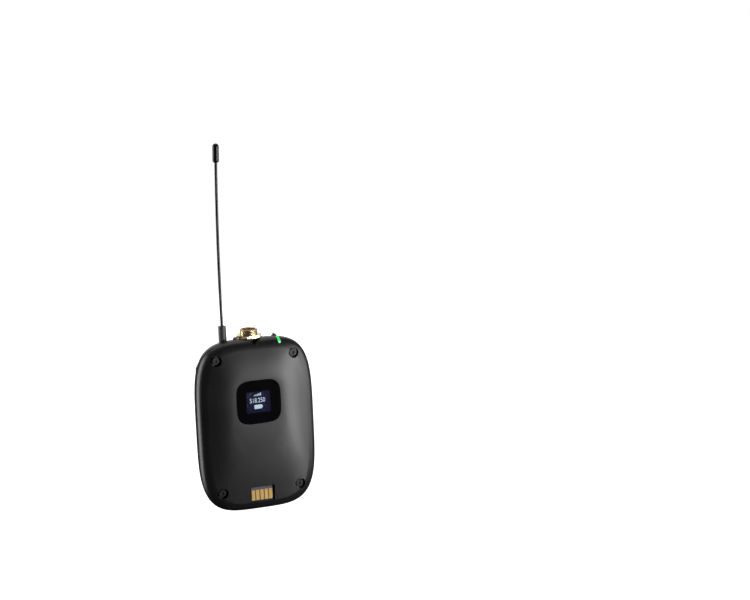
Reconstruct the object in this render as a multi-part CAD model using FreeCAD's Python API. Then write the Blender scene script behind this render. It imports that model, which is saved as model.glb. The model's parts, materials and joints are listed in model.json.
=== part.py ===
import FreeCAD, Part
import math
import os

# Wireless bodypack transmitter: millimetres, +Z up towards the antenna, front face towards -Y.
# The origin is the middle of the battery door's flat rear face, where the belt lies.

# Case
CASE_WIDTH = 68.0
CASE_HEIGHT = 98.0
CASE_DEPTH = 25.5
HALF_WIDTH = CASE_WIDTH / 2
HALF_HEIGHT = CASE_HEIGHT / 2
OUTLINE_POWER = 4.05
FRONT_Y = -CASE_DEPTH
PARTING_Y = -17.2
CASE_WALL = 1.7
RIM_INSET = 7.9
RIM_POWER = 2 / 2.2
RIM_END_ANGLE = 72.0
CROWN_RISE = 2.2
CROWN_STEPS = 7
CROWN_MARGIN = 1.2
RIM_DEPTH = (CASE_DEPTH + PARTING_Y - CROWN_RISE) / math.sin(math.radians(RIM_END_ANGLE)) ** RIM_POWER
REAR_INSET = 14.1
OUTLINE_POINTS = 48
FAR = 60.0

# Seam between front shell and chassis, filled by the gasket
GASKET_FRONT_Y = PARTING_Y - 0.2
GASKET_REAR_Y = PARTING_Y + 0.2
GASKET_INSET = 0.45

# Battery door
DOOR_SEAM_Y = -8.5
DOOR_TOP_Z = 40.0
DOOR_GAP = 0.15
DOOR_WALL = 1.6
HINGE_Y = -8.4
HINGE_Z = -46.0
HINGE_RADIUS = 1.0
HINGE_PIN_RADIUS = 0.55
HINGE_CLEAR_RADIUS = 1.35
HINGE_REACH = 17.8
HINGE_PIN_REACH = 16.9
CHASSIS_KNUCKLES = ((-HINGE_PIN_REACH, -12.9), (-2.4, 2.4), (12.9, HINGE_PIN_REACH))
DOOR_KNUCKLES = ((-12.6, -2.7), (2.7, 12.6))

# Thumb grip grooves across the top of the door's rear face
GRIP_COUNT = 4
GRIP_LOW_Z = 24.0
GRIP_PITCH = 2.6
GRIP_RADIUS = 0.9
GRIP_DEPTH = 0.4
GRIP_HALF_WIDTH = 11.0

# Display
WINDOW_Z = 14.3
WINDOW_HALF_X = 12.9
WINDOW_HALF_Z = 12.4
WINDOW_POWER = 4.0
WINDOW_FLOOR_Y = FRONT_Y + 1.2
WINDOW_FACE_Y = FRONT_Y + 0.25
SCREEN_Z = 14.0
SCREEN_OPENING = (17.0, 15.5)
PANEL_SIZE = (19.0, 17.5)
PANEL_FRONT_Y = -22.6
PANEL_REAR_Y = -21.1

# Case screws
SCREWS = ((-22.5, 39.4), (22.5, 39.4), (-22.7, -36.4), (22.7, -36.4))
COUNTERBORE_RADIUS = 3.0
COUNTERBORE_FLOOR_Y = -21.1
SCREW_HEAD_RADIUS = 2.2
SCREW_HEAD_Y = -22.2
SCREW_SHANK_RADIUS = 1.0
SCREW_TIP_Y = -12.5
SOCKET_RADIUS = 0.95
SCREW_BOSS_RADIUS = 3.9
SCREW_POST_RADIUS = 3.1
INSERT_RADIUS = 1.7
INSERT_LENGTH = 4.0

# Charging contacts
CONTACT_Z = -39.2
CONTACT_COUNT = 5
CONTACT_PITCH = 2.54
PAD_SIZE = (1.9, 5.9)
PAD_Z = CONTACT_Z - 0.7
PAD_FACE_Y = -22.7
CARRIER_SIZE = (12.5, 7.7)
CARRIER_FACE_Y = -22.6
CONTACT_POCKET = (14.5, 9.0)
CONTACT_POCKET_FLOOR_Y = -22.0
CONTACT_BLOCK_SIZE = (17.4, 11.8)
CONTACT_BLOCK_REAR_Y = -20.7
CARRIER_FLANGE_SIZE = (15.6, 10.0)
CARRIER_FLANGE_THICK = 0.7

# Circuit board
BOARD_FRONT_Y = -19.6
BOARD_REAR_Y = -18.4
BOARD_INSET = 3.2

# Batteries, two size AA cells side by side
CELL_RADIUS = 7.1
CELL_X = 7.4
CELL_Y = -8.85
CELL_LOW_Z = -35.6
CELL_HIGH_Z = 13.9
CELL_NUB = 1.0
CELL_NUB_RADIUS = 2.6
PLATE_THICK = 0.5
BAY_LOW_Z = -40.1
BAY_HIGH_Z = 18.4
BAY_FLOOR_Y = -16.1
BAY_RIM_Y = -8.7
BAY_HALF_WIDTH = 15.2
BAY_WALL = 1.2
DECK_TOP_Z = 37.0

# Top panel
TOP_Y = -12.5
JACK_SEAT_Z = 49.0
JACK_RADIUS = 4.95
JACK_ROOT_RADIUS = 4.5
JACK_STEM_RADIUS = 4.1
JACK_FLANGE_RADIUS = 5.6
JACK_FLANGE_LOW_Z = 44.0
JACK_FLANGE_HIGH_Z = 45.2
JACK_BORE_RADIUS = 3.9
JACK_SOCKET_RADIUS = 3.3
JACK_SOCKET_Z = 49.4
JACK_LOW_Z = 42.0
JACK_RIM_Z = 53.6
NUT_ACROSS_FLATS = 13.0
WASHER_RADIUS = 7.0
WASHER_THICK = 0.4
NUT_THICK = 1.0
NOTCH_X = 0.5
NOTCH_TIP = (-22.8, 45.4)
NOTCH_RUN = (5.5, 1.7)
NOTCH_SPREAD = 1.8
NOTCH_BLOCK_HALF = 9.0
NOTCH_BLOCK_LOW_Z = 41.5
LED_X = 14.9
LED_WIDTH = 1.6
LED_LOW_Z = 45.6
IR_X = -8.8
IR_Y = -15.0
IR_RADIUS = 1.15
IR_TOP_Z = 50.25
ANTENNA_X = -15.2
STUB_LOW_Z = 44.0
STUB_HIGH_Z = 56.7
STUB_LOW_RADIUS = 2.3
STUB_HIGH_RADIUS = 2.2
WHIP_RADIUS = 0.8
WHIP_LOW_Z = 54.0
WHIP_HIGH_Z = 156.0
WHIP_BOW = 2001.0
WHIP_LEAN = -0.0055
CAP_RADIUS = 1.8
CAP_LOW_Z = 148.2
CAP_LENGTH = 10.6
KNOB_X = 14.8
KNOB_TRAVEL = 3.0
KNOB_Y = -13.0
KNOB_TOP_Z = 49.4
SWITCH_SEAT_Z = 47.3

# Door release buttons, one in each side
LATCH_LOW_Z = -7.2
LATCH_HIGH_Z = 3.4
LATCH_FRONT_Y = -15.4
LATCH_REAR_Y = -9.9
LATCH_GAP = 0.2
LATCH_FLANGE_X = 30.0
LATCH_FLANGE_THICK = 0.7
LATCH_SEAT_X = 24.0

# Catches of the battery door, beside the release buttons
CATCH_X = 26.9
CATCH_THICK = 0.8
CATCH_LOW_Z = 0.7
CATCH_HIGH_Z = 3.6
CATCH_TIP_Y = -11.6
CATCH_ROOT_Y = -6.8

# Menu and enter buttons, under the battery door
BUTTON_X = 6.2
BUTTON_Z = 27.0
BUTTON_SIZE = (7.6, 5.0)
BUTTON_TOP_Y = -7.2

# Belt clip, one bent wire
WIRE_RADIUS = 0.95
CLIP_PIVOT_Y = -6.0
CLIP_PIVOT_Z = 34.5
CLIP_PIVOT_X = 24.4
CLIP_SIDE_X = 28.85
CLIP_MOUTH_X = 27.0
CLIP_BORE_RADIUS = 1.0


def vec(x, y, z):
    return FreeCAD.Vector(x, y, z)


def box(x0, x1, y0, y1, z0, z1):
    return Part.makeBox(x1 - x0, y1 - y0, z1 - z0, vec(x0, y0, z0))


def centred_box(x, z, size, y0, y1):
    return box(x - size[0] / 2, x + size[0] / 2, y0, y1, z - size[1] / 2, z + size[1] / 2)


def soft_box(x, z, size, y0, y1, radius):
    """A block along Y whose four long edges are rounded."""
    block = centred_box(x, z, size, y0, y1)
    long_edges = [e for e in block.Edges if abs(e.tangentAt(e.FirstParameter).y) > 0.99]
    return block.makeFillet(radius, long_edges)


def cylinder_x(y, z, radius, x0, x1):
    return Part.makeCylinder(radius, x1 - x0, vec(x0, y, z), vec(1, 0, 0))


def cylinder_y(x, z, radius, y0, y1):
    return Part.makeCylinder(radius, y1 - y0, vec(x, y0, z), vec(0, 1, 0))


def cylinder_z(x, y, radius, z0, z1):
    return Part.makeCylinder(radius, z1 - z0, vec(x, y, z0), vec(0, 0, 1))


def joined(pieces):
    whole = pieces[0]
    for piece in pieces[1:]:
        whole = whole.fuse(piece)
    return whole.removeSplitter()


def turned(profile, x, y):
    """A closed profile of (radius, z) points, turned about the vertical line at x, y."""
    points = [vec(x + r, y, z) for r, z in profile]
    face = Part.Face(Part.makePolygon(points + points[:1]))
    return face.revolve(vec(x, y, 0), vec(0, 0, 1), 360)


def outline(half_x, half_z, y, centre_z=0.0, power=OUTLINE_POWER):
    """A closed rounded-square curve in the plane y, the section of the case."""
    points = []
    for i in range(OUTLINE_POINTS):
        angle = 2 * math.pi * i / OUTLINE_POINTS
        c = math.cos(angle)
        s = math.sin(angle)
        reach = (abs(c) ** power + abs(s) ** power) ** (-1 / power)
        points.append(vec(half_x * c * reach, y, centre_z + half_z * s * reach))
    curve = Part.BSplineCurve()
    steps = [float(i) for i in range(OUTLINE_POINTS + 1)]
    curve.interpolate(Points=points, PeriodicFlag=True, Parameters=steps)
    return Part.Wire([curve.toShape()])


def outline_plate(half_x, half_z, y0, y1, centre_z=0.0, power=OUTLINE_POWER):
    face = Part.Face(outline(half_x, half_z, y0, centre_z, power))
    return face.extrude(vec(0, y1 - y0, 0))


def front_form(wall):
    """The front of the case as a solid, moved in by the wall thickness: a rounded rim and a low crown."""
    sections = []
    rim_depth = RIM_DEPTH - wall / math.sin(math.radians(RIM_END_ANGLE)) ** RIM_POWER
    for angle in (0, 12, 25, 38, 50, 61, RIM_END_ANGLE):
        c = math.cos(math.radians(angle)) ** RIM_POWER
        s = math.sin(math.radians(angle)) ** RIM_POWER
        inset = wall + (RIM_INSET - wall) * (1 - c)
        y = PARTING_Y - rim_depth * s
        sections.append(outline(HALF_WIDTH - inset, HALF_HEIGHT - inset, y))
    rim = Part.makeLoft(sections, True, False)
    crown = []
    for step in range(CROWN_STEPS + 1):
        t = step / CROWN_STEPS
        half_x = (1 - t) * (HALF_WIDTH - inset) + t * (WINDOW_HALF_X + CROWN_MARGIN)
        half_z = (1 - t) * (HALF_HEIGHT - inset) + t * (WINDOW_HALF_Z + CROWN_MARGIN)
        rise = CROWN_RISE * math.sin(math.pi / 2 * t)
        crown.append(outline(half_x, half_z, y - rise, t * WINDOW_Z))
    return rim.fuse(Part.makeLoft(crown, True, False))


def rear_form(wall):
    """The back of the case as a solid, moved in by the wall thickness."""
    sections = []
    for angle in (0, 12, 25, 38, 51, 64, 77, 90):
        inset = wall + (REAR_INSET - wall) * (1 - math.cos(math.radians(angle)))
        y = PARTING_Y - (PARTING_Y + wall) * math.sin(math.radians(angle))
        sections.append(outline(HALF_WIDTH - inset, HALF_HEIGHT - inset, y))
    return Part.makeLoft(sections, True, False)


FRONT_SOLID = front_form(0)
FRONT_SPACE = front_form(CASE_WALL)
REAR_SOLID = rear_form(0)
REAR_SPACE = rear_form(CASE_WALL)
DOOR_SPACE = rear_form(DOOR_WALL)


def notch_cutter():
    """The V-shaped thumb notch that runs down from the jack into the front face."""
    y, z = NOTCH_TIP
    run_y, run_z = NOTCH_RUN
    rise = 6.0
    corners = [vec(NOTCH_X, y, z),
               vec(NOTCH_X + rise * NOTCH_SPREAD, y, z + rise),
               vec(NOTCH_X - rise * NOTCH_SPREAD, y, z + rise)]
    face = Part.Face(Part.makePolygon(corners + corners[:1]))
    face.translate(vec(0, -run_y, -run_z))
    return face.extrude(vec(0, 2.5 * run_y, 2.5 * run_z))


def jack_room():
    """Room in the case for the jack's inner flange and stem."""
    flange = cylinder_z(0, TOP_Y, JACK_FLANGE_RADIUS + 0.2, JACK_LOW_Z - 1, JACK_FLANGE_HIGH_Z)
    return flange.fuse(cylinder_z(0, TOP_Y, JACK_STEM_RADIUS + 0.05, JACK_LOW_Z - 1, FAR))


def jack_seat_cutter():
    return cylinder_z(0, TOP_Y, WASHER_RADIUS + 0.4, JACK_SEAT_Z, FAR)


def led_slot():
    """The slot for the light pipe: round at its lower end, open at the top."""
    low = LED_LOW_Z + LED_WIDTH / 2
    slot = centred_box(LED_X, (low + FAR) / 2, (LED_WIDTH, FAR - low), FRONT_Y - 1, GASKET_FRONT_Y)
    return slot.fuse(cylinder_y(LED_X, low, LED_WIDTH / 2, FRONT_Y - 1, GASKET_FRONT_Y))


def front_shell():
    shell = FRONT_SOLID.cut(FRONT_SPACE)
    blocks = [cylinder_y(x, z, SCREW_BOSS_RADIUS, FRONT_Y - 1, PARTING_Y) for x, z in SCREWS]
    blocks.append(centred_box(0, CONTACT_Z, CONTACT_BLOCK_SIZE, FRONT_Y - 1, CONTACT_BLOCK_REAR_Y))
    blocks.append(box(NOTCH_X - NOTCH_BLOCK_HALF, NOTCH_X + NOTCH_BLOCK_HALF, FRONT_Y - 1, PARTING_Y,
                      NOTCH_BLOCK_LOW_Z, FAR))
    for block in blocks:
        shell = shell.fuse(block.common(FRONT_SOLID))
    shell = shell.cut(box(-FAR, FAR, GASKET_FRONT_Y, 0, -FAR, FAR))
    cutters = [outline_plate(WINDOW_HALF_X + 0.08, WINDOW_HALF_Z + 0.08, FRONT_Y - 1, WINDOW_FLOOR_Y,
                             WINDOW_Z, WINDOW_POWER),
               soft_box(0, SCREEN_Z, SCREEN_OPENING, FRONT_Y - 1, PARTING_Y, 1.5),
               soft_box(0, CONTACT_Z, CONTACT_POCKET, FRONT_Y - 1, CONTACT_POCKET_FLOOR_Y, 0.7),
               centred_box(0, CONTACT_Z, [side + 0.1 for side in CARRIER_SIZE], FRONT_Y - 1, PARTING_Y),
               notch_cutter(), jack_seat_cutter(), jack_room(), led_slot()]
    for x, z in SCREWS:
        cutters.append(cylinder_y(x, z, COUNTERBORE_RADIUS, FRONT_Y - 1, COUNTERBORE_FLOOR_Y))
        cutters.append(cylinder_y(x, z, SCREW_SHANK_RADIUS + 0.15, FRONT_Y, 0))
    for cutter in cutters:
        shell = shell.cut(cutter)
    return shell


def case_gasket():
    inset = GASKET_INSET
    ring = outline_plate(HALF_WIDTH - inset, HALF_HEIGHT - inset, GASKET_FRONT_Y, GASKET_REAR_Y)
    inset = CASE_WALL
    ring = ring.cut(outline_plate(HALF_WIDTH - inset, HALF_HEIGHT - inset, GASKET_FRONT_Y, GASKET_REAR_Y))
    return ring.cut(notch_cutter()).cut(jack_seat_cutter()).cut(jack_room())


def chassis_blocks():
    """Walls, posts and bosses inside the chassis, before they are trimmed to the case."""
    wall = BAY_WALL
    half = BAY_HALF_WIDTH + wall
    floor = BAY_FLOOR_Y
    rim = BAY_RIM_Y
    blocks = [box(-FAR, FAR, GASKET_REAR_Y, floor, -FAR, DECK_TOP_Z),
              box(-half, half, floor, rim, BAY_LOW_Z - wall, BAY_LOW_Z),
              box(-half, half, floor, rim, BAY_HIGH_Z, BAY_HIGH_Z + wall),
              box(-half, half, floor, rim, DECK_TOP_Z - wall, DECK_TOP_Z),
              box(-half, half, rim - wall, rim, BAY_HIGH_Z, DECK_TOP_Z),
              box(-CELL_X - 5, -CELL_X + 5, floor, -9.5, CELL_HIGH_Z + CELL_NUB + PLATE_THICK, BAY_HIGH_Z),
              box(CELL_X - 5, CELL_X + 5, floor, -9.5, BAY_LOW_Z, CELL_LOW_Z - CELL_NUB - PLATE_THICK),
              box(-FAR, FAR, DOOR_SEAM_Y, FAR, DOOR_TOP_Z, DOOR_TOP_Z + wall),
              cylinder_z(0, TOP_Y, 8.0, JACK_FLANGE_HIGH_Z, FAR),
              cylinder_z(ANTENNA_X, TOP_Y, 3.9, 44.0, FAR),
              cylinder_z(IR_X, IR_Y, IR_RADIUS + 0.8, 45.0, FAR),
              box(9.6, 17.6, -16.2, -9.4, 44.8, FAR)]
    for side in (-1, 1):
        low, high = sorted((side * BAY_HALF_WIDTH, side * half))
        blocks.append(box(low, high, floor, rim, BAY_LOW_Z - wall, DECK_TOP_Z))
        low, high = sorted((side * LATCH_SEAT_X, side * (LATCH_SEAT_X - 1.4)))
        blocks.append(box(low, high, floor, LATCH_REAR_Y, LATCH_LOW_Z + 1, LATCH_HIGH_Z - 1))
        for z in (-29.0, 31.0):
            blocks.append(cylinder_y(side * 20.0, z, 1.6, BOARD_REAR_Y, GASKET_REAR_Y))
    for x, z in SCREWS:
        blocks.append(cylinder_y(x, z, SCREW_POST_RADIUS, GASKET_REAR_Y, DOOR_SEAM_Y - 1.0))
    return blocks


def rear_chassis():
    door_room = box(-FAR, FAR, DOOR_SEAM_Y, FAR, -FAR, DOOR_TOP_Z)
    body = REAR_SOLID.cut(REAR_SPACE).cut(door_room)
    for block in chassis_blocks():
        piece = block.common(REAR_SOLID) if block.BoundBox.YMax > GASKET_REAR_Y else block
        body = body.fuse(piece)
    body = body.cut(box(-FAR, FAR, -FAR, GASKET_REAR_Y, DECK_TOP_Z, FAR))
    body = body.cut(outline_plate(HALF_WIDTH + 1, HALF_HEIGHT + 1, BOARD_REAR_Y, GASKET_REAR_Y).cut(
        outline_plate(HALF_WIDTH - 3, HALF_HEIGHT - 3, BOARD_REAR_Y, GASKET_REAR_Y)))
    seat = cylinder_z(0, TOP_Y, WASHER_RADIUS + 0.4, JACK_FLANGE_HIGH_Z, JACK_SEAT_Z)
    body = body.fuse(seat.common(box(-FAR, FAR, GASKET_REAR_Y, FAR, 0, FAR)))
    cutters = [jack_room(),
               cylinder_z(ANTENNA_X, TOP_Y, STUB_LOW_RADIUS + 0.03, STUB_LOW_Z, FAR),
               cylinder_z(IR_X, IR_Y, IR_RADIUS + 0.03, 44, FAR),
               box(10.4, 16.8, KNOB_Y - 2.5, KNOB_Y + 2.5, SWITCH_SEAT_Z, FAR),
               box(KNOB_X - KNOB_TRAVEL - 0.8, KNOB_X + 0.8, KNOB_Y - 0.6, KNOB_Y + 0.6, 44, FAR)]
    for low, high in DOOR_KNUCKLES:
        cutters.append(cylinder_x(HINGE_Y, HINGE_Z, HINGE_CLEAR_RADIUS, low - 0.3, high + 0.3))
    for side in (-1, 1):
        low, high = sorted((side * 28, side * FAR))
        cutters.append(box(low, high, LATCH_FRONT_Y - LATCH_GAP, LATCH_REAR_Y + LATCH_GAP,
                           LATCH_LOW_Z - LATCH_GAP, LATCH_HIGH_Z + LATCH_GAP))
        low, high = sorted((side * 16.8, side * HINGE_REACH))
        cutters.append(cylinder_x(HINGE_Y, HINGE_Z, HINGE_CLEAR_RADIUS, low, high))
        cutters.append(centred_box(side * BUTTON_X, BUTTON_Z, [s + 0.3 for s in BUTTON_SIZE], -10.5, -8))
    for x, z in SCREWS:
        cutters.append(cylinder_y(x, z, INSERT_RADIUS, GASKET_REAR_Y, GASKET_REAR_Y + INSERT_LENGTH))
        cutters.append(cylinder_y(x, z, SCREW_SHANK_RADIUS + 0.1, GASKET_REAR_Y, -11.5))
    for cutter in cutters:
        body = body.cut(cutter)
    for low, high in CHASSIS_KNUCKLES:
        web = box(low, high, HINGE_Y - 2.2, HINGE_Y, HINGE_Z - 0.9, HINGE_Z + 1.0).common(REAR_SOLID)
        body = body.fuse(web).fuse(cylinder_x(HINGE_Y, HINGE_Z, HINGE_RADIUS, low, high))
    return body.cut(cylinder_x(HINGE_Y, HINGE_Z, HINGE_PIN_RADIUS, -FAR, FAR))


def screw(x, z):
    head = cylinder_y(x, z, SCREW_HEAD_RADIUS, SCREW_HEAD_Y, COUNTERBORE_FLOOR_Y)
    rim = [e for e in head.Edges if e.BoundBox.YMax < SCREW_HEAD_Y + 0.01]
    head = head.makeChamfer(0.2, rim)
    shank = cylinder_y(x, z, SCREW_SHANK_RADIUS, COUNTERBORE_FLOOR_Y, SCREW_TIP_Y)
    corners = [vec(x + SOCKET_RADIUS * math.cos(a), SCREW_HEAD_Y, z + SOCKET_RADIUS * math.sin(a))
               for a in [math.radians(60 * i) for i in range(7)]]
    socket = Part.Face(Part.makePolygon(corners)).extrude(vec(0, 0.7, 0))
    return head.fuse(shank).cut(socket)


def screw_insert(x, z):
    return cylinder_y(x, z, INSERT_RADIUS, GASKET_REAR_Y, GASKET_REAR_Y + INSERT_LENGTH).cut(
        cylinder_y(x, z, SCREW_SHANK_RADIUS + 0.02, GASKET_REAR_Y, 0))


def display_window():
    pane = outline_plate(WINDOW_HALF_X, WINDOW_HALF_Z, WINDOW_FACE_Y, WINDOW_FLOOR_Y, WINDOW_Z, WINDOW_POWER)
    rim = [e for e in pane.Edges if e.BoundBox.YMax < WINDOW_FACE_Y + 0.01]
    return pane.makeChamfer(0.2, rim)


def display_frame():
    outer = [side + 4 for side in PANEL_SIZE]
    frame = soft_box(0, SCREEN_Z, outer, FRONT_Y + CASE_WALL + 0.05, BOARD_FRONT_Y, 1.0)
    frame = frame.cut(centred_box(0, SCREEN_Z, SCREEN_OPENING, FRONT_Y, 0))
    return frame.cut(centred_box(0, SCREEN_Z, [side + 0.1 for side in PANEL_SIZE], PANEL_FRONT_Y, 0))


def display_panel():
    glass = centred_box(0, SCREEN_Z, PANEL_SIZE, PANEL_FRONT_Y, PANEL_REAR_Y)
    ribbon = box(-4, 4, PANEL_REAR_Y, BOARD_FRONT_Y, SCREEN_Z - 2, SCREEN_Z - 1.6)
    return glass.fuse(ribbon)


def main_board():
    board = outline_plate(HALF_WIDTH - BOARD_INSET, HALF_HEIGHT - BOARD_INSET, BOARD_FRONT_Y, BOARD_REAR_Y)
    reach = NOTCH_BLOCK_HALF + 0.5
    board = board.cut(box(NOTCH_X - reach, NOTCH_X + reach, -FAR, 0, NOTCH_BLOCK_LOW_Z - 0.5, FAR))
    for x, z in SCREWS:
        board = board.cut(cylinder_y(x, z, SCREW_BOSS_RADIUS + 0.3, -FAR, 0))
    return board


def rf_shield():
    can = box(-18, 4, BOARD_FRONT_Y - 2.4, BOARD_FRONT_Y, -26, -8)
    inside = box(-17.7, 3.7, BOARD_FRONT_Y - 2.1, BOARD_FRONT_Y, -25.7, -8.3)
    holes = [cylinder_y(-15 + 4 * i, -23 + 4 * j, 0.6, -FAR, 0) for i in range(5) for j in range(4)]
    can = can.cut(inside)
    for hole in holes:
        can = can.cut(hole)
    return can


def board_chips():
    chips = ((12, -12, 9, 9, 1.2), (12, -24, 6, 5, 1.0), (-8, -31, 8, 4, 1.4), (21, 5, 5, 7, 1.1),
             (-20, 8, 5, 5, 1.3), (6, -32, 3, 3, 1.0))
    return Part.makeCompound([centred_box(x, z, (w, h), BOARD_FRONT_Y - t, BOARD_FRONT_Y)
                              for x, z, w, h, t in chips])


def contact_pad(x):
    pad = soft_box(x, PAD_Z, PAD_SIZE, PAD_FACE_Y, PAD_FACE_Y + 0.35, 0.25)
    return pad.fuse(centred_box(x, PAD_Z, (0.7, 0.7), PAD_FACE_Y + 0.35, BOARD_FRONT_Y))


def contact_places():
    middle = (CONTACT_COUNT - 1) / 2
    return [(i - middle) * CONTACT_PITCH for i in range(CONTACT_COUNT)]


def charging_contacts():
    return Part.makeCompound([contact_pad(x) for x in contact_places()])


def contact_carrier():
    rear = CONTACT_BLOCK_REAR_Y + CARRIER_FLANGE_THICK
    block = soft_box(0, CONTACT_Z, CARRIER_SIZE, CARRIER_FACE_Y, rear, 0.4)
    block = block.fuse(centred_box(0, CONTACT_Z, CARRIER_FLANGE_SIZE, CONTACT_BLOCK_REAR_Y + 0.05, rear))
    for x in contact_places():
        block = block.cut(contact_pad(x))
    return block


def power_led_lens():
    return led_slot().common(FRONT_SOLID).cut(FRONT_SPACE)


def power_led():
    return box(LED_X - 0.8, LED_X + 0.8, BOARD_FRONT_Y - 0.8, BOARD_FRONT_Y, 43.2, 44.4)


def ir_window():
    centre = vec(IR_X, IR_Y, IR_TOP_Z - IR_RADIUS)
    stem = cylinder_z(IR_X, IR_Y, IR_RADIUS, 45.0, centre.z)
    dome = Part.makeSphere(IR_RADIUS, centre)
    return stem.fuse(dome.common(cylinder_z(IR_X, IR_Y, IR_RADIUS + 1, centre.z, FAR)))


def whip_point(z):
    s = z - STUB_HIGH_Z
    return vec(ANTENNA_X + WHIP_LEAN * s + s * s / (2 * WHIP_BOW), TOP_Y, z)


def antenna_base():
    return turned([(0, 42.6), (3.0, 42.6), (3.0, 44.0), (1.5, 44.0), (1.5, WHIP_LOW_Z), (0, WHIP_LOW_Z)],
                  ANTENNA_X, TOP_Y)


def antenna_stub():
    sleeve = turned([(1.52, STUB_LOW_Z), (STUB_LOW_RADIUS, STUB_LOW_Z), (STUB_LOW_RADIUS, 47.5),
                     (STUB_HIGH_RADIUS, STUB_HIGH_Z - 0.12), (STUB_HIGH_RADIUS - 0.12, STUB_HIGH_Z),
                     (0.85, STUB_HIGH_Z), (0.85, WHIP_LOW_Z), (1.52, WHIP_LOW_Z)], ANTENNA_X, TOP_Y)
    return sleeve


def antenna_whip():
    low = whip_point(WHIP_LOW_Z + 0.05)
    high = whip_point(WHIP_HIGH_Z)
    arc = Part.Arc(low, whip_point((WHIP_LOW_Z + WHIP_HIGH_Z) / 2), high).toShape()
    start = arc.tangentAt(arc.FirstParameter)
    ring = Part.Wire([Part.makeCircle(WHIP_RADIUS, low, start)])
    return Part.Wire([arc]).makePipeShell([ring], True, False)


def antenna_cap():
    r = CAP_RADIUS
    profile = [(0, 0), (r - 0.9, 0), (r - 0.3, 0.25), (r, 0.9)]
    for angle in range(0, 91, 15):
        a = math.radians(angle)
        profile.append((r * math.cos(a), CAP_LENGTH - r + r * math.sin(a)))
    points = [vec(radius, 0, z) for radius, z in profile]
    cap = Part.Face(Part.makePolygon(points + points[:1])).revolve(vec(0, 0, 0), vec(0, 0, 1), 360)
    cap = cap.cut(cylinder_z(0, 0, WHIP_RADIUS + 0.03, -1, WHIP_HIGH_Z - CAP_LOW_Z + 0.1))
    foot = whip_point(CAP_LOW_Z)
    lean = WHIP_LEAN + (CAP_LOW_Z + 4 - STUB_HIGH_Z) / WHIP_BOW
    cap.rotate(vec(0, 0, 0), vec(0, 1, 0), math.degrees(math.atan(lean)))
    cap.translate(foot)
    return cap


def jack_barrel():
    thread_z = JACK_SEAT_Z + WASHER_THICK + NUT_THICK + 0.3
    profile = [(0, JACK_LOW_Z), (JACK_STEM_RADIUS, JACK_LOW_Z), (JACK_STEM_RADIUS, JACK_FLANGE_LOW_Z),
               (JACK_FLANGE_RADIUS, JACK_FLANGE_LOW_Z), (JACK_FLANGE_RADIUS, JACK_FLANGE_HIGH_Z),
               (JACK_STEM_RADIUS, JACK_FLANGE_HIGH_Z), (JACK_STEM_RADIUS, JACK_SEAT_Z),
               (JACK_ROOT_RADIUS, JACK_SEAT_Z), (JACK_ROOT_RADIUS, thread_z), (JACK_RADIUS, thread_z),
               (JACK_RADIUS, JACK_RIM_Z - 0.3), (JACK_RADIUS - 0.3, JACK_RIM_Z),
               (JACK_BORE_RADIUS, JACK_RIM_Z), (JACK_BORE_RADIUS, JACK_SOCKET_Z),
               (JACK_SOCKET_RADIUS, JACK_SOCKET_Z), (JACK_SOCKET_RADIUS, JACK_LOW_Z + 1), (0, JACK_LOW_Z + 1)]
    key = box(-0.6, 0.6, TOP_Y + 3.4, TOP_Y + 4.2, JACK_SOCKET_Z, JACK_RIM_Z - 1)
    barrel = turned(profile, 0, TOP_Y).fuse(key)
    for x, y in pin_places():
        barrel = barrel.cut(cylinder_z(x, y, 0.7, JACK_LOW_Z - 1, JACK_LOW_Z + 2))
    return barrel


def pin_places():
    angles = [math.radians(90 * i + 45) for i in range(4)]
    return [(1.9 * math.cos(a), TOP_Y + 1.9 * math.sin(a)) for a in angles]


def jack_insulator():
    disc = cylinder_z(0, TOP_Y, JACK_SOCKET_RADIUS - 0.05, JACK_LOW_Z + 1, JACK_SOCKET_Z - 1)
    for x, y in pin_places():
        disc = disc.cut(cylinder_z(x, y, 0.5, 0, FAR))
    return disc


def jack_pins():
    pins = []
    for x, y in pin_places():
        pin = cylinder_z(x, y, 0.5, JACK_LOW_Z - 1.6, JACK_RIM_Z - 1.6)
        tip = [e for e in pin.Edges if e.BoundBox.ZMin > JACK_RIM_Z - 1.7]
        pins.append(pin.makeFillet(0.4, tip))
    return Part.makeCompound(pins)


def jack_washer():
    z = JACK_SEAT_Z
    ring = cylinder_z(0, TOP_Y, WASHER_RADIUS, z, z + WASHER_THICK)
    return ring.cut(cylinder_z(0, TOP_Y, JACK_ROOT_RADIUS + 0.1, 0, FAR))


def jack_nut():
    low = JACK_SEAT_Z + WASHER_THICK
    corner = NUT_ACROSS_FLATS / math.sqrt(3)
    angles = [math.radians(60 * i + 8) for i in range(7)]
    points = [vec(corner * math.cos(a), TOP_Y + corner * math.sin(a), low) for a in angles]
    hexagon = Part.Face(Part.makePolygon(points)).extrude(vec(0, 0, NUT_THICK))
    dome = Part.makeCone(corner + NUT_THICK * 0.9, corner - 0.55, NUT_THICK, vec(0, TOP_Y, low), vec(0, 0, 1))
    return hexagon.common(dome).cut(cylinder_z(0, TOP_Y, JACK_ROOT_RADIUS + 0.02, 0, FAR))


def power_switch_knob():
    seat = SWITCH_SEAT_Z
    slider = box(KNOB_X - 1.2, KNOB_X + 1.2, KNOB_Y - 2.3, KNOB_Y + 2.3, seat + 0.1, seat + 1)
    ridge = box(KNOB_X - 0.55, KNOB_X + 0.55, KNOB_Y - 1.9, KNOB_Y + 1.9, seat + 1, KNOB_TOP_Z)
    tips = [e for e in ridge.Edges if e.BoundBox.ZMin > KNOB_TOP_Z - 0.1]
    ridge = ridge.makeFillet(0.35, tips)
    stem = box(KNOB_X - 0.6, KNOB_X + 0.6, KNOB_Y - 0.5, KNOB_Y + 0.5, 43.9, seat + 0.1)
    return joined([slider, ridge, stem])


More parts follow.
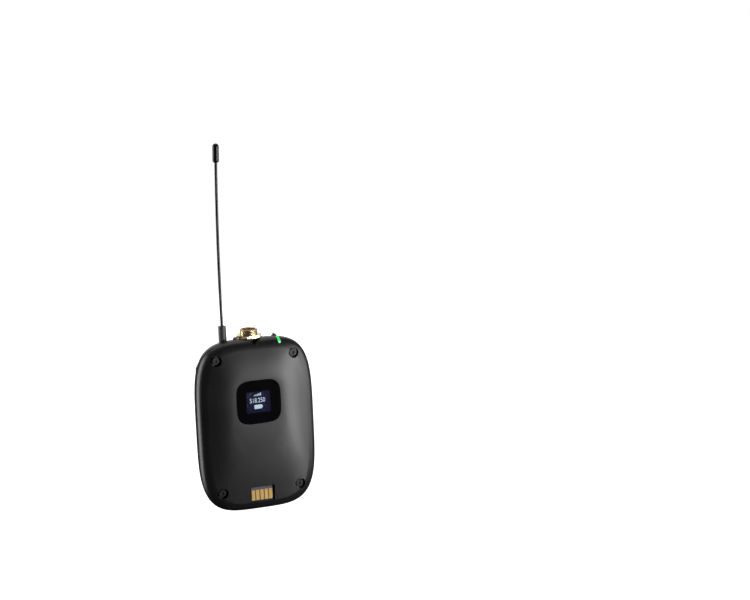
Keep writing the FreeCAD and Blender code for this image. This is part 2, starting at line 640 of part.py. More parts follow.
def power_switch_body():
    case = box(9.4, 17.6, KNOB_Y - 2, KNOB_Y + 2, 40.8, 44.6)
    slot = box(KNOB_X - KNOB_TRAVEL - 0.9, KNOB_X + 0.9, KNOB_Y - 0.7, KNOB_Y + 0.7, 43.4, FAR)
    legs = [box(x, x + 0.6, KNOB_Y - 0.2, KNOB_Y + 0.2, 39.6, 40.8) for x in (10.4, 13.2, 16.0)]
    return joined([case.cut(slot)] + legs)


def menu_key(side):
    """A key cap that shows through the deck, with a flange that keeps it in."""
    cap = soft_box(side * BUTTON_X, BUTTON_Z, BUTTON_SIZE, -10.0, BUTTON_TOP_Y, 0.8)
    rim = [e for e in cap.Edges if e.BoundBox.YMin > BUTTON_TOP_Y - 0.01]
    cap = cap.makeFillet(0.4, rim)
    return cap.fuse(centred_box(side * BUTTON_X, BUTTON_Z, (9.0, 6.4), -10.8, -10.0))


def button_switches():
    switches = []
    for side in (-1, 1):
        body = centred_box(side * BUTTON_X, BUTTON_Z, (6.0, 6.0), BAY_FLOOR_Y, -12.2)
        switches.append(body.fuse(cylinder_y(side * BUTTON_X, BUTTON_Z, 1.7, -12.2, -11.4)))
    return Part.makeCompound(switches)


def battery(side):
    """One cell; the left one stands with its positive nub up, the right one down."""
    low, high = (CELL_LOW_Z, CELL_HIGH_Z)
    can = cylinder_z(side * CELL_X, CELL_Y, CELL_RADIUS, low, high)
    rims = [e for e in can.Edges if e.Length > CELL_RADIUS * 6]
    can = can.makeFillet(0.5, rims)
    if side < 0:
        return can.fuse(cylinder_z(side * CELL_X, CELL_Y, CELL_NUB_RADIUS, high, high + CELL_NUB))
    return can.fuse(cylinder_z(side * CELL_X, CELL_Y, CELL_NUB_RADIUS, low - CELL_NUB, low))


def coil(radius, wire, length, turns):
    """A helical spring along +Z from the origin."""
    helix = Part.makeHelix((length - 2 * wire) / turns, length - 2 * wire, radius)
    ring = Part.Wire([Part.makeCircle(wire, vec(radius, 0, 0), vec(0, 1, 0))])
    spring = Part.Wire(helix.Edges).makePipeShell([ring], True, True)
    spring.translate(vec(0, 0, wire))
    return spring


def battery_springs():
    springs = []
    for side, low in ((-1, BAY_LOW_Z), (1, CELL_HIGH_Z)):
        length = CELL_LOW_Z - BAY_LOW_Z
        spring = coil(3.0, 0.35, length - 0.1, 4)
        spring.translate(vec(side * CELL_X, CELL_Y, low + 0.05))
        springs.append(spring)
    return Part.makeCompound(springs)


def battery_plates():
    plates = []
    for side, low in ((-1, CELL_HIGH_Z + CELL_NUB), (1, CELL_LOW_Z - CELL_NUB - PLATE_THICK)):
        x = side * CELL_X
        plates.append(box(x - 4.5, x + 4.5, -13.5, -9.6, low, low + PLATE_THICK))
    return Part.makeCompound(plates)


def catch_arm(side):
    """The part of the door that holds a catch, beside a release button."""
    low, high = sorted((side * CATCH_X, side * 31.4))
    return box(low, high, DOOR_SEAM_Y + DOOR_GAP, -6.0, CATCH_LOW_Z, CATCH_HIGH_Z).common(REAR_SOLID)


def catch_slot(side, gap):
    low, high = sorted((side * (CATCH_X - gap), side * (CATCH_X + CATCH_THICK + gap)))
    return box(low, high, CATCH_TIP_Y, CATCH_ROOT_Y, CATCH_LOW_Z + 0.4 - gap, CATCH_HIGH_Z - 0.4 + gap)


def door_catches():
    """Two sprung steel tongues, one behind each release button."""
    return Part.makeCompound([catch_slot(side, 0) for side in (-1, 1)])


def battery_door():
    room = box(-FAR, FAR, DOOR_SEAM_Y + DOOR_GAP, FAR, -FAR, DOOR_TOP_Z - DOOR_GAP)
    door = REAR_SOLID.cut(DOOR_SPACE).common(room)
    top = box(-FAR, FAR, DOOR_SEAM_Y + DOOR_GAP, FAR, DOOR_TOP_Z - DOOR_GAP - 1.2, DOOR_TOP_Z - DOOR_GAP)
    door = door.fuse(top.common(REAR_SOLID))
    for side in (-1, 1):
        low, high = sorted((side * (CLIP_PIVOT_X - 1.2), side * FAR))
        boss = cylinder_x(CLIP_PIVOT_Y, CLIP_PIVOT_Z, 2.2, low, high).common(REAR_SOLID)
        arm = catch_arm(side).fuse(catch_arm(side).translated(vec(-0.6 * side, 0, 0)))
        door = door.fuse(boss).fuse(arm).cut(catch_slot(side, 0.02))
        low, high = sorted((side * (CLIP_PIVOT_X - 0.1), side * FAR))
        door = door.cut(cylinder_x(CLIP_PIVOT_Y, CLIP_PIVOT_Z, CLIP_BORE_RADIUS, low, high))
        low, high = sorted((side * CLIP_MOUTH_X, side * FAR))
        door = door.cut(cylinder_x(CLIP_PIVOT_Y, CLIP_PIVOT_Z, 2 * CLIP_BORE_RADIUS, low, high))
    for step in range(GRIP_COUNT):
        door = door.cut(cylinder_x(GRIP_RADIUS - GRIP_DEPTH, GRIP_LOW_Z + step * GRIP_PITCH, GRIP_RADIUS,
                                   -GRIP_HALF_WIDTH, GRIP_HALF_WIDTH))
    for z in (-26.0, -4.0, 24.0):
        for x in (-20.0, 20.0):
            door = door.fuse(box(x - 0.5, x + 0.5, -5.0, -1.0, z - 6, z + 6).common(REAR_SOLID))
    for low, high in CHASSIS_KNUCKLES:
        door = door.cut(cylinder_x(HINGE_Y, HINGE_Z, HINGE_CLEAR_RADIUS, low - 0.3, high + 0.3))
    for low, high in DOOR_KNUCKLES:
        web = box(low, high, HINGE_Y, HINGE_Y + 1.8, HINGE_Z - 0.9, HINGE_Z + 1.0).common(REAR_SOLID)
        door = door.fuse(web).fuse(cylinder_x(HINGE_Y, HINGE_Z, HINGE_RADIUS, low, high))
    return door.cut(cylinder_x(HINGE_Y, HINGE_Z, HINGE_PIN_RADIUS + 0.05, -FAR, FAR))


def door_pad():
    return box(-1.9, 1.9, -3.7, -DOOR_WALL, -28, 8)


def door_hinge_pin():
    return cylinder_x(HINGE_Y, HINGE_Z, HINGE_PIN_RADIUS, -HINGE_PIN_REACH, HINGE_PIN_REACH)


def latch_button(side):
    low, high = sorted((side * LATCH_FLANGE_X, side * FAR))
    key = box(low, high, LATCH_FRONT_Y, LATCH_REAR_Y, LATCH_LOW_Z, LATCH_HIGH_Z).common(REAR_SOLID)
    for step in range(3):
        z = (LATCH_LOW_Z + LATCH_HIGH_Z) / 2 + (step - 1) * 2.4
        face = side * (HALF_WIDTH - 0.15)
        groove = cylinder_y(face, z, 0.45, LATCH_FRONT_Y - 1, LATCH_REAR_Y + 1)
        key = key.cut(groove)
    low, high = sorted((side * (LATCH_FLANGE_X - LATCH_FLANGE_THICK), side * LATCH_FLANGE_X))
    flange = box(low, high, LATCH_FRONT_Y - 0.4, LATCH_REAR_Y + 0.6, LATCH_LOW_Z - 0.9, LATCH_HIGH_Z + 0.9)
    return key.fuse(flange)


def latch_spring(side):
    length = LATCH_FLANGE_X - LATCH_FLANGE_THICK - LATCH_SEAT_X - 0.1
    spring = coil(1.9, 0.25, length, 6)
    spring.rotate(vec(0, 0, 0), vec(0, 1, 0), side * 90)
    middle_z = (LATCH_LOW_Z + LATCH_HIGH_Z) / 2
    middle_y = (LATCH_FRONT_Y + LATCH_REAR_Y) / 2
    spring.translate(vec(side * (LATCH_SEAT_X + 0.05), middle_y, middle_z))
    return spring


def rounded_path(points, radii):
    """Straight runs joined by tangent arcs, one radius for each corner, as one wire."""
    edges = []
    start = points[0]
    for before, corner, after, radius in zip(points, points[1:], points[2:], radii):
        into = (before - corner).normalize()
        out = (after - corner).normalize()
        half_turn = math.acos(max(-1.0, min(1.0, into.dot(out)))) / 2
        reach = radius / math.tan(half_turn)
        first = corner + into * reach
        last = corner + out * reach
        middle_line = (into + out).normalize()
        middle = corner + middle_line * (radius / math.sin(half_turn) - radius)
        edges.append(Part.makeLine(start, first))
        edges.append(Part.Arc(first, middle, last).toShape())
        start = last
    edges.append(Part.makeLine(start, points[-1]))
    return Part.Wire(edges)


def belt_clip():
    """One wire: in at the left pivot, down behind the belt, across, and back to the right pivot."""
    right = [(CLIP_PIVOT_X, CLIP_PIVOT_Y, CLIP_PIVOT_Z), (CLIP_SIDE_X, CLIP_PIVOT_Y, CLIP_PIVOT_Z),
             (26.0, 6.1, 24.0), (18.5, 6.1, -15.0), (17.0, 1.9, -27.0), (15.5, 4.8, -35.0)]
    points = [vec(*p) for p in right]
    points += [vec(-p[0], p[1], p[2]) for p in reversed(right)]
    radii = [1.4, 7.0, 12.0, 6.0, 5.0]
    path = rounded_path(points, radii + radii[::-1])
    start = points[0]
    ring = Part.Wire([Part.makeCircle(WIRE_RADIUS, start, points[1] - start)])
    return path.makePipeShell([ring], True, False)


PARTS = {
    "front_shell": front_shell,
    "rear_chassis": rear_chassis,
    "case_gasket": case_gasket,
    "case_screws": lambda: Part.makeCompound([screw(x, z) for x, z in SCREWS]),
    "screw_inserts": lambda: Part.makeCompound([screw_insert(x, z) for x, z in SCREWS]),
    "display_window": display_window,
    "display_frame": display_frame,
    "display_panel": display_panel,
    "main_board": main_board,
    "rf_shield": rf_shield,
    "board_chips": board_chips,
    "charging_contacts": charging_contacts,
    "contact_carrier": contact_carrier,
    "power_led_lens": power_led_lens,
    "power_led": power_led,
    "ir_window": ir_window,
    "antenna_base": antenna_base,
    "antenna_stub": antenna_stub,
    "antenna_whip": antenna_whip,
    "antenna_cap": antenna_cap,
    "jack_barrel": jack_barrel,
    "jack_insulator": jack_insulator,
    "jack_pins": jack_pins,
    "jack_washer": jack_washer,
    "jack_nut": jack_nut,
    "power_switch_knob": power_switch_knob,
    "power_switch_body": power_switch_body,
    "menu_button": lambda: menu_key(-1),
    "enter_button": lambda: menu_key(1),
    "button_switches": button_switches,
    "battery_left": lambda: battery(-1),
    "battery_right": lambda: battery(1),
    "battery_springs": battery_springs,
    "battery_plates": battery_plates,
    "battery_door": battery_door,
    "door_pad": door_pad,
    "door_catches": door_catches,
    "door_hinge_pin": door_hinge_pin,
    "latch_button_left": lambda: latch_button(-1),
    "latch_button_right": lambda: latch_button(1),
    "latch_spring_left": lambda: latch_spring(-1),
    "latch_spring_right": lambda: latch_spring(1),
    "belt_clip": belt_clip,
}

os.makedirs("parts", exist_ok=True)
for name, make in PARTS.items():
    shape = make()
    low = shape.BoundBox
    print(name, shape.isValid(), len(shape.Solids), round(shape.Volume, 1),
          [round(v, 1) for v in (low.XMin, low.XMax, low.YMin, low.YMax, low.ZMin, low.ZMax)])
    shape.exportStep("parts/" + name + ".step")
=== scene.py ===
import json
import math

import bmesh
import bpy
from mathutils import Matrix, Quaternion, Vector


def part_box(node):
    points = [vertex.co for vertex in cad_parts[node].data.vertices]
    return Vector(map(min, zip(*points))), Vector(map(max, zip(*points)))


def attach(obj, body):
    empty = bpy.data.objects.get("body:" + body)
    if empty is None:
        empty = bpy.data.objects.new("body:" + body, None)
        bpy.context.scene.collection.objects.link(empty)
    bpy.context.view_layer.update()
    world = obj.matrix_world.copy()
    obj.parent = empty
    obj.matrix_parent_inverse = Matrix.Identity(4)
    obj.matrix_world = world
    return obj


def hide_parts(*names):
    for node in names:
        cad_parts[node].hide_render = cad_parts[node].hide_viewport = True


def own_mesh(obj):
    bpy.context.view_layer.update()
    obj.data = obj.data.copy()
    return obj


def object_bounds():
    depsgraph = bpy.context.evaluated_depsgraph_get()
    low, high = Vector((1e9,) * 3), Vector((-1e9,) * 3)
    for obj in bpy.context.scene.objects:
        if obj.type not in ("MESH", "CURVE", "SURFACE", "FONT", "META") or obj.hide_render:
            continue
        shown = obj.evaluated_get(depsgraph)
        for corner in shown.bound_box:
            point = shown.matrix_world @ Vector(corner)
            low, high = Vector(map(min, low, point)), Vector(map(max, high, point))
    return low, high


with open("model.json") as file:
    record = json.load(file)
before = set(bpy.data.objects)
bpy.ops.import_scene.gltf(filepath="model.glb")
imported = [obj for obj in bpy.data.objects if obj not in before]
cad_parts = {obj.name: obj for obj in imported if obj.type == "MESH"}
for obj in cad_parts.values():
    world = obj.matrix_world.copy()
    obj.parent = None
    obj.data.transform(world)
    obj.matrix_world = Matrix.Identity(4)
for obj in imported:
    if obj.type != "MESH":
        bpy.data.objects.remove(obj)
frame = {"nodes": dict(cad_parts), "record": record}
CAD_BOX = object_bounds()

MM = 0.001
NODES = frame["nodes"]
SCREEN_WIDTH = 14.1 * MM
SCREEN_HEIGHT = 12.2 * MM


# ---------------------------------------------------------------- materials

class Look:
    """A Principled material with short calls for the nodes that feed it."""

    def __init__(self, name, color, roughness=0.5, metallic=0.0, **sockets):
        self.material = bpy.data.materials.new(name)
        self.material.use_nodes = True
        self.tree = self.material.node_tree
        self.shader = self.tree.nodes["Principled BSDF"]
        self.place = self.node("ShaderNodeTexCoord").outputs["Object"]
        self.set("Base Color", (*color, 1.0))
        self.set("Roughness", roughness)
        self.set("Metallic", metallic)
        for socket, value in sockets.items():
            self.set(socket.replace("_", " "), value)

    def set(self, socket, value):
        self.shader.inputs[socket].default_value = value

    def node(self, kind, **settings):
        made = self.tree.nodes.new(kind)
        for key, value in settings.items():
            setattr(made, key, value)
        return made

    def link(self, source, target):
        self.tree.links.new(source, target)

    def noise(self, scale, detail=3.0, rough=0.55, stretch=(1, 1, 1)):
        """Noise over the object's own place; scale is in features per metre."""
        mapping = self.node("ShaderNodeMapping")
        mapping.inputs["Scale"].default_value = stretch
        self.link(self.place, mapping.inputs["Vector"])
        noise = self.node("ShaderNodeTexNoise")
        noise.inputs["Scale"].default_value = scale
        noise.inputs["Detail"].default_value = detail
        noise.inputs["Roughness"].default_value = rough
        self.link(mapping.outputs["Vector"], noise.inputs["Vector"])
        return noise.outputs["Fac"]

    def spread(self, source, low, high, start=0.3, end=0.7):
        """Maps the source from start..end to low..high."""
        ramp = self.node("ShaderNodeMapRange")
        ramp.inputs["From Min"].default_value = start
        ramp.inputs["From Max"].default_value = end
        ramp.inputs["To Min"].default_value = low
        ramp.inputs["To Max"].default_value = high
        self.link(source, ramp.inputs["Value"])
        return ramp.outputs["Result"]

    def axis(self, name):
        """One coordinate of the object's own place, in metres."""
        split = self.node("ShaderNodeSeparateXYZ")
        self.link(self.place, split.inputs[0])
        return split.outputs[name]

    def math(self, operation, first, second):
        node = self.node("ShaderNodeMath", operation=operation)
        for socket, value in zip(node.inputs, (first, second)):
            if isinstance(value, (int, float)):
                socket.default_value = value
            else:
                self.link(value, socket)
        return node.outputs[0]

    def bands(self, axis, edges):
        """1 inside each low..high span along an axis, 0 outside."""
        place = self.axis(axis)
        total = 0.0
        for low, high in edges:
            inside = self.math("MULTIPLY", self.math("GREATER_THAN", place, low),
                               self.math("LESS_THAN", place, high))
            total = self.math("ADD", total, inside)
        return total

    def mix(self, factor, first, second):
        mix = self.node("ShaderNodeMix", data_type="RGBA")
        mix.inputs[6].default_value = (*first, 1.0)
        mix.inputs[7].default_value = (*second, 1.0)
        self.link(factor, mix.inputs[0])
        return mix.outputs[2]

    def colors(self, factor, first, second):
        self.link(self.mix(factor, first, second), self.shader.inputs["Base Color"])

    def bump(self, height, distance, strength=1.0):
        bump = self.node("ShaderNodeBump")
        bump.inputs["Distance"].default_value = distance
        bump.inputs["Strength"].default_value = strength
        self.link(height, bump.inputs["Height"])
        self.link(bump.outputs["Normal"], self.shader.inputs["Normal"])


def moulded_plastic(name, dark, light, rough, grain):
    """Satin moulded plastic: fine spark-eroded grain, faint shine where hands rub it."""
    look = Look(name, dark, rough)
    rubbed = look.noise(38, 4.0, 0.6)
    pores = look.noise(4300, 2.0, 0.6)
    look.colors(look.spread(rubbed, 0.0, 1.0), dark, light)
    look.link(look.spread(rubbed, rough - 0.035, rough + 0.035), look.shader.inputs["Roughness"])
    look.set("Specular IOR Level", 0.7)
    look.bump(pores, grain, 0.5)
    return look.material


def rubber(name, color, rough):
    look = Look(name, color, rough)
    mottle = look.noise(900, 3.0, 0.6)
    paler = [value * 1.5 + 0.004 for value in color]
    look.colors(look.spread(mottle, 0.0, 1.0), color, paler)
    look.bump(mottle, 0.00004, 0.6)
    return look.material


def plated(name, color, tint, rough, stretch, scale=900, metallic=1.0):
    """Plated metal with fine machining lines and a slight change of tone."""
    look = Look(name, color, rough, metallic)
    lines = look.noise(scale, 2.0, 0.5, stretch)
    tone = look.noise(140, 3.0, 0.5)
    look.colors(look.spread(tone, 0.0, 1.0), color, tint)
    look.link(look.spread(lines, rough * 0.75, rough * 1.35), look.shader.inputs["Roughness"])
    look.bump(lines, 0.00001, 0.35)
    return look.material


def printed_window():
    """Gloss acrylic, printed black behind, with a clear opening over the screen."""
    look = Look("printed_window", (0.004, 0.004, 0.005), 0.05, IOR=1.49)
    low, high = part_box("display_panel")
    middle = (low.z + high.z) / 2
    opening = look.math("MULTIPLY", look.bands("X", [(-SCREEN_WIDTH / 2, SCREEN_WIDTH / 2)]),
                        look.bands("Z", [(middle - SCREEN_HEIGHT / 2, middle + SCREEN_HEIGHT / 2)]))
    smears = look.noise(70, 3.0, 0.6)
    look.colors(opening, (0.004, 0.004, 0.005), (0.97, 0.97, 1.0))
    look.link(opening, look.shader.inputs["Transmission Weight"])
    look.link(look.spread(smears, 0.03, 0.09), look.shader.inputs["Roughness"])
    return look.material


def gloss_black(name, color, rough):
    look = Look(name, color, rough)
    ripple = look.noise(160, 2.0, 0.5)
    look.link(look.spread(ripple, rough * 0.7, rough * 1.5), look.shader.inputs["Roughness"])
    look.colors(look.spread(ripple, 0.0, 1.0), color, [value * 1.4 for value in color])
    look.bump(ripple, 0.00002, 0.2)
    return look.material


def smoked_lens():
    """A clear plastic dome with a slight grey tint."""
    look = Look("lens_smoke", (0.26, 0.26, 0.29), 0.10, Transmission_Weight=0.3, IOR=1.49)
    ripple = look.noise(300, 2.0, 0.5)
    look.colors(look.spread(ripple, 0.0, 1.0), (0.22, 0.22, 0.25), (0.32, 0.32, 0.35))
    look.bump(ripple, 0.00002, 0.2)
    return look.material


def display_glass():
    """A switched-on organic display: navy ground with a faint dot grid."""
    look = Look("display_glass", (0.010, 0.010, 0.028), 0.12)
    dots = look.node("ShaderNodeTexChecker")
    dots.inputs["Scale"].default_value = 5200
    look.link(look.place, dots.inputs["Vector"])
    glow = look.mix(dots.outputs["Fac"], (0.0085, 0.0075, 0.024), (0.0105, 0.0090, 0.029))
    look.link(glow, look.shader.inputs["Base Color"])
    look.link(glow, look.shader.inputs["Emission Color"])
    look.set("Emission Strength", 1.0)
    return look.material


def lit(name, color, strength, mottled):
    """A lit surface with a slight unevenness."""
    look = Look(name, color, 0.4)
    patches = look.noise(1500, 2.0, 0.5)
    tone = look.mix(look.spread(patches, 0.0, 1.0), color, mottled)
    look.link(tone, look.shader.inputs["Emission Color"])
    look.link(tone, look.shader.inputs["Base Color"])
    look.set("Emission Strength", strength)
    return look.material


def green_light():
    """The light pipe: deep green along the top, near white at its lower end."""
    look = Look("green_light", (0.0, 0.5, 0.1), 0.15)
    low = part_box("power_led_lens")[0]
    height = look.spread(look.axis("Z"), 0.0, 1.0, low.z + 0.15 * MM, low.z + 1.5 * MM)
    speckle = look.noise(2600, 2.0, 0.5)
    tone = look.mix(height, (0.55, 1.0, 0.62), (0.0, 0.62, 0.09))
    look.link(tone, look.shader.inputs["Emission Color"])
    look.link(look.spread(speckle, 0.85, 1.15), look.shader.inputs["Emission Strength"])
    look.set("Coat Weight", 0.5)
    return look.material


def circuit_board():
    """Green solder mask over copper tracks."""
    look = Look("circuit_board", (0.01, 0.10, 0.04), 0.35)
    tracks = look.node("ShaderNodeTexBrick", offset=0.37, squash=1.6)
    tracks.inputs["Scale"].default_value = 150
    tracks.inputs["Mortar Size"].default_value = 0.035
    tracks.inputs["Color1"].default_value = (0.008, 0.075, 0.030, 1)
    tracks.inputs["Color2"].default_value = (0.010, 0.090, 0.038, 1)
    tracks.inputs["Mortar"].default_value = (0.05, 0.22, 0.09, 1)
    turn = look.node("ShaderNodeMapping")
    turn.inputs["Rotation"].default_value = (math.radians(90), 0, 0)
    look.link(look.place, turn.inputs["Vector"])
    look.link(turn.outputs["Vector"], tracks.inputs["Vector"])
    look.link(tracks.outputs["Color"], look.shader.inputs["Base Color"])
    look.bump(tracks.outputs["Fac"], 0.00004, 0.5)
    look.set("Coat Weight", 0.3)
    return look.material


def cell_sleeve():
    """A plain printed cell: two-tone sleeve with bare steel at both ends."""
    look = Look("cell_sleeve", (0.03, 0.12, 0.07), 0.3)
    low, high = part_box("battery_left")
    body_low = low.z + 0.9 * MM
    body_high = high.z - 2.0 * MM
    sleeve = look.bands("Z", [(body_low, body_high)])
    stripe = look.bands("Z", [(body_high - 11 * MM, body_high - 0.8 * MM)])
    scuffs = look.noise(220, 4.0, 0.6)
    print_tone = look.node("ShaderNodeMix", data_type="RGBA")
    print_tone.inputs[6].default_value = (0.018, 0.09, 0.05, 1)
    print_tone.inputs[7].default_value = (0.50, 0.33, 0.12, 1)
    look.link(stripe, print_tone.inputs[0])
    tone = look.node("ShaderNodeMix", data_type="RGBA")
    tone.inputs[6].default_value = (0.66, 0.66, 0.66, 1)
    look.link(print_tone.outputs[2], tone.inputs[7])
    look.link(sleeve, tone.inputs[0])
    look.link(tone.outputs[2], look.shader.inputs["Base Color"])
    look.link(look.math("SUBTRACT", 1.0, sleeve), look.shader.inputs["Metallic"])
    look.link(look.spread(scuffs, 0.22, 0.38), look.shader.inputs["Roughness"])
    look.bump(scuffs, 0.00002, 0.3)
    return look.material


LOOKS = {
    "case_plastic": moulded_plastic("case_plastic", (0.014, 0.014, 0.015), (0.019, 0.019, 0.020), 0.36,
                                    0.00005),
    "door_plastic": moulded_plastic("door_plastic", (0.015, 0.015, 0.016), (0.020, 0.020, 0.021), 0.47,
                                    0.00007),
    "key_plastic": moulded_plastic("key_plastic", (0.026, 0.026, 0.028), (0.033, 0.033, 0.035), 0.38,
                                   0.00003),
    "gasket": rubber("gasket_rubber", (0.008, 0.008, 0.009), 0.7),
    "screw_steel": plated("screw_steel", (0.038, 0.038, 0.041), (0.062, 0.062, 0.066), 0.38, (1, 1, 1)),
    "brass": plated("brass", (0.72, 0.55, 0.28), (0.62, 0.45, 0.22), 0.3, (1, 1, 6)),
    "window": printed_window(),
    "lens_smoke": smoked_lens(),
    "display_frame": moulded_plastic("display_frame", (0.008, 0.008, 0.008), (0.012, 0.012, 0.012), 0.6,
                                     0.00004),
    "display_glass": display_glass(),
    "screen_digits": lit("screen_digits", (0.60, 0.76, 0.82), 0.72, (0.50, 0.68, 0.76)),
    "board": circuit_board(),
    "shield": plated("tin_plate", (0.60, 0.60, 0.58), (0.50, 0.50, 0.49), 0.32, (1, 1, 1)),
    "chip": moulded_plastic("chip_epoxy", (0.014, 0.014, 0.015), (0.022, 0.022, 0.023), 0.5, 0.00003),
    "gold": plated("contact_gold", (1.0, 0.66, 0.20), (0.98, 0.58, 0.15), 0.42, (1, 1, 8), 500, 0.45),
    "carrier": moulded_plastic("carrier_plastic", (0.13, 0.12, 0.17), (0.17, 0.16, 0.21), 0.5, 0.00004),
    "led_lens": green_light(),
    "antenna_sleeve": rubber("antenna_sleeve", (0.070, 0.071, 0.073), 0.40),
    "antenna_wire": gloss_black("antenna_wire", (0.008, 0.008, 0.009), 0.22),
    "jack_gold": plated("jack_gold", (0.86, 0.68, 0.40), (0.93, 0.79, 0.55), 0.30, (1, 1, 6), 600),
    "insulator": gloss_black("insulator", (0.012, 0.012, 0.012), 0.3),
    "cell": cell_sleeve(),
    "contact_metal": plated("nickel_plate", (0.66, 0.65, 0.62), (0.58, 0.57, 0.54), 0.28, (1, 1, 1)),
    "clip_steel": plated("clip_steel", (0.60, 0.59, 0.57), (0.50, 0.49, 0.47), 0.30, (8, 1, 1), 700, 0.6),
}

NODE_LOOKS = {"ir_window": "lens_smoke"}


def dress(piece, look):
    """Gives an object one material in every slot it has."""
    if not piece.material_slots:
        piece.data.materials.append(LOOKS[look])
    for slot in piece.material_slots:
        slot.link = "OBJECT"
        slot.material = LOOKS[look]


def dress_nodes():
    """Each CAD node gets the look of its own material slot, or the look named for it."""
    for part in frame["record"]["subparts"]:
        node = part["node"]
        dress(NODES[node], NODE_LOOKS.get(node, part["material_slot"]))


dress_nodes()


# ---------------------------------------------------------------- pieces made here

def place(name, mesh, look, body, slot, node=None):
    """Puts a new piece on a body, in place of a CAD node if one is named."""
    piece = bpy.data.objects.new(name, mesh)
    bpy.context.scene.collection.objects.link(piece)
    dress(piece, look)
    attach(piece, body)
    if node:
        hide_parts(node)
    return piece


def lathe(name, rows, centre, steps):
    """A closed solid turned about the vertical line at centre; rows give (radius, z) for an angle."""
    mesh = bpy.data.meshes.new(name)
    rings = list(zip(*[rows(2 * math.pi * i / steps) for i in range(steps)]))
    points = []
    for ring in rings:
        for i, (radius, z) in enumerate(ring):
            angle = 2 * math.pi * i / steps
            points.append((centre[0] + radius * math.cos(angle), centre[1] + radius * math.sin(angle), z))
    faces = []
    count = len(rings)
    for j in range(count):
        above = (j + 1) % count
        for i in range(steps):
            beside = (i + 1) % steps
            faces.append((j * steps + i, j * steps + beside, above * steps + beside, above * steps + i))
    mesh.from_pydata(points, [], faces)
    mesh.update()
    return mesh


THREAD_PITCH = 0.75 * MM
THREAD_DEPTH = 0.2 * MM
THREAD_STEPS = 40
BARREL_RADIUS = 4.95 * MM
BARREL_BORE = 3.9 * MM
BARREL_ROOT = 4.5 * MM
BARREL_STEM = 4.1 * MM
BARREL_FLANGE = 5.6 * MM
BARREL_SOCKET = 3.3 * MM
FLANGE_RISE = (2.0 * MM, 3.2 * MM)
THREAD_RISE = 0.3 * MM
BARREL_STEPS = 96
SOCKET_RISE = 1.0 * MM


def threaded_barrel():
    """The jack's barrel with its real helical thread, a rim chamfer, the stem and the inner flange."""
    low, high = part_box("jack_barrel")
    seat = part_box("jack_washer")[0].z
    nut_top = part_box("jack_nut")[1].z
    floor, insert_top = [corner.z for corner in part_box("jack_insulator")]
    centre = ((low.x + high.x) / 2, (low.y + high.y) / 2)
    thread_low = nut_top + THREAD_RISE
    start = thread_low + 0.05 * MM
    end = high.z - 0.35 * MM

    def rows(angle):
        profile = [(0.02 * MM, low.z), (BARREL_STEM, low.z), (BARREL_STEM, low.z + FLANGE_RISE[0]),
                   (BARREL_FLANGE, low.z + FLANGE_RISE[0]), (BARREL_FLANGE, low.z + FLANGE_RISE[1]),
                   (BARREL_STEM, low.z + FLANGE_RISE[1]), (BARREL_STEM, seat), (BARREL_ROOT, seat),
                   (BARREL_ROOT, thread_low), (BARREL_RADIUS - THREAD_DEPTH, thread_low)]
        for i in range(THREAD_STEPS + 1):
            z = start + (end - start) * i / THREAD_STEPS
            phase = (z / THREAD_PITCH - angle / (2 * math.pi)) % 1.0
            ridge = 1.0 - abs(2 * phase - 1)
            fade = min(1.0, (z - start) / THREAD_PITCH, (end - z) / (0.5 * THREAD_PITCH))
            profile.append((BARREL_RADIUS - THREAD_DEPTH * fade * min(1.0, 1.25 * ridge), z))
        profile += [(BARREL_RADIUS - 0.06 * MM, end + 0.05 * MM), (BARREL_RADIUS - 0.30 * MM, high.z),
                    (BARREL_BORE + 0.25 * MM, high.z), (BARREL_BORE, high.z - 0.2 * MM),
                    (BARREL_BORE, insert_top + SOCKET_RISE), (BARREL_SOCKET, insert_top + SOCKET_RISE),
                    (BARREL_SOCKET, floor), (0.02 * MM, floor)]
        return profile

    return lathe("jack_barrel_threaded", rows, centre, BARREL_STEPS)


def box_mesh(name, boxes):
    """One mesh of several separate boxes."""
    form = bmesh.new()
    for (x0, x1), (y0, y1), (z0, z1) in boxes:
        made = bmesh.ops.create_cube(form, size=1.0)["verts"]
        for vert in made:
            vert.co = Vector(((x0 + x1) / 2 + vert.co.x * (x1 - x0), (y0 + y1) / 2 + vert.co.y * (y1 - y0),
                              (z0 + z1) / 2 + vert.co.z * (z1 - z0)))
    mesh = bpy.data.meshes.new(name)
    form.to_mesh(mesh)
    form.free()
    return mesh


def screen_marks():
    """Battery gauge and signal bars on the display, as thin lit shapes."""
    low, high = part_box("display_panel")
    front = low.y
    depth = (front - 0.04 * MM, front - 0.01 * MM)
    middle = (low.z + high.z) / 2
    marks = []

    def mark(x0, x1, z0, z1):
        marks.append(((x0 * MM, x1 * MM), depth, (middle + z0 * MM, middle + z1 * MM)))

    mark(-1.9, 2.5, -4.2, -1.9)
    mark(2.62, 3.0, -3.6, -2.5)
    for bar in range(5):
        mark(-1.9 + 0.9 * bar, -1.35 + 0.9 * bar, 3.2, 3.7 + 0.28 * bar)
    return box_mesh("screen_marks", marks)


def screen_digits():
    """A plain channel frequency in the middle of the display."""
    low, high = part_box("display_panel")
    curve = bpy.data.curves.new("digits", "FONT")
    curve.body = "518.250"
    curve.size = 3.0 * MM
    curve.align_x = "CENTER"
    curve.extrude = 0.02 * MM
    text = bpy.data.objects.new("digits", curve)
    bpy.context.scene.collection.objects.link(text)
    bpy.context.view_layer.update()
    mesh = bpy.data.meshes.new_from_object(text)
    bpy.data.objects.remove(text)
    base = (low.z + high.z) / 2 - 0.65 * MM
    for vert in mesh.vertices:
        x, up, out = vert.co
        vert.co = (x * 0.94, low.y - 0.03 * MM - out, base + up * 1.25)
    mesh.name = "screen_digits"
    return mesh


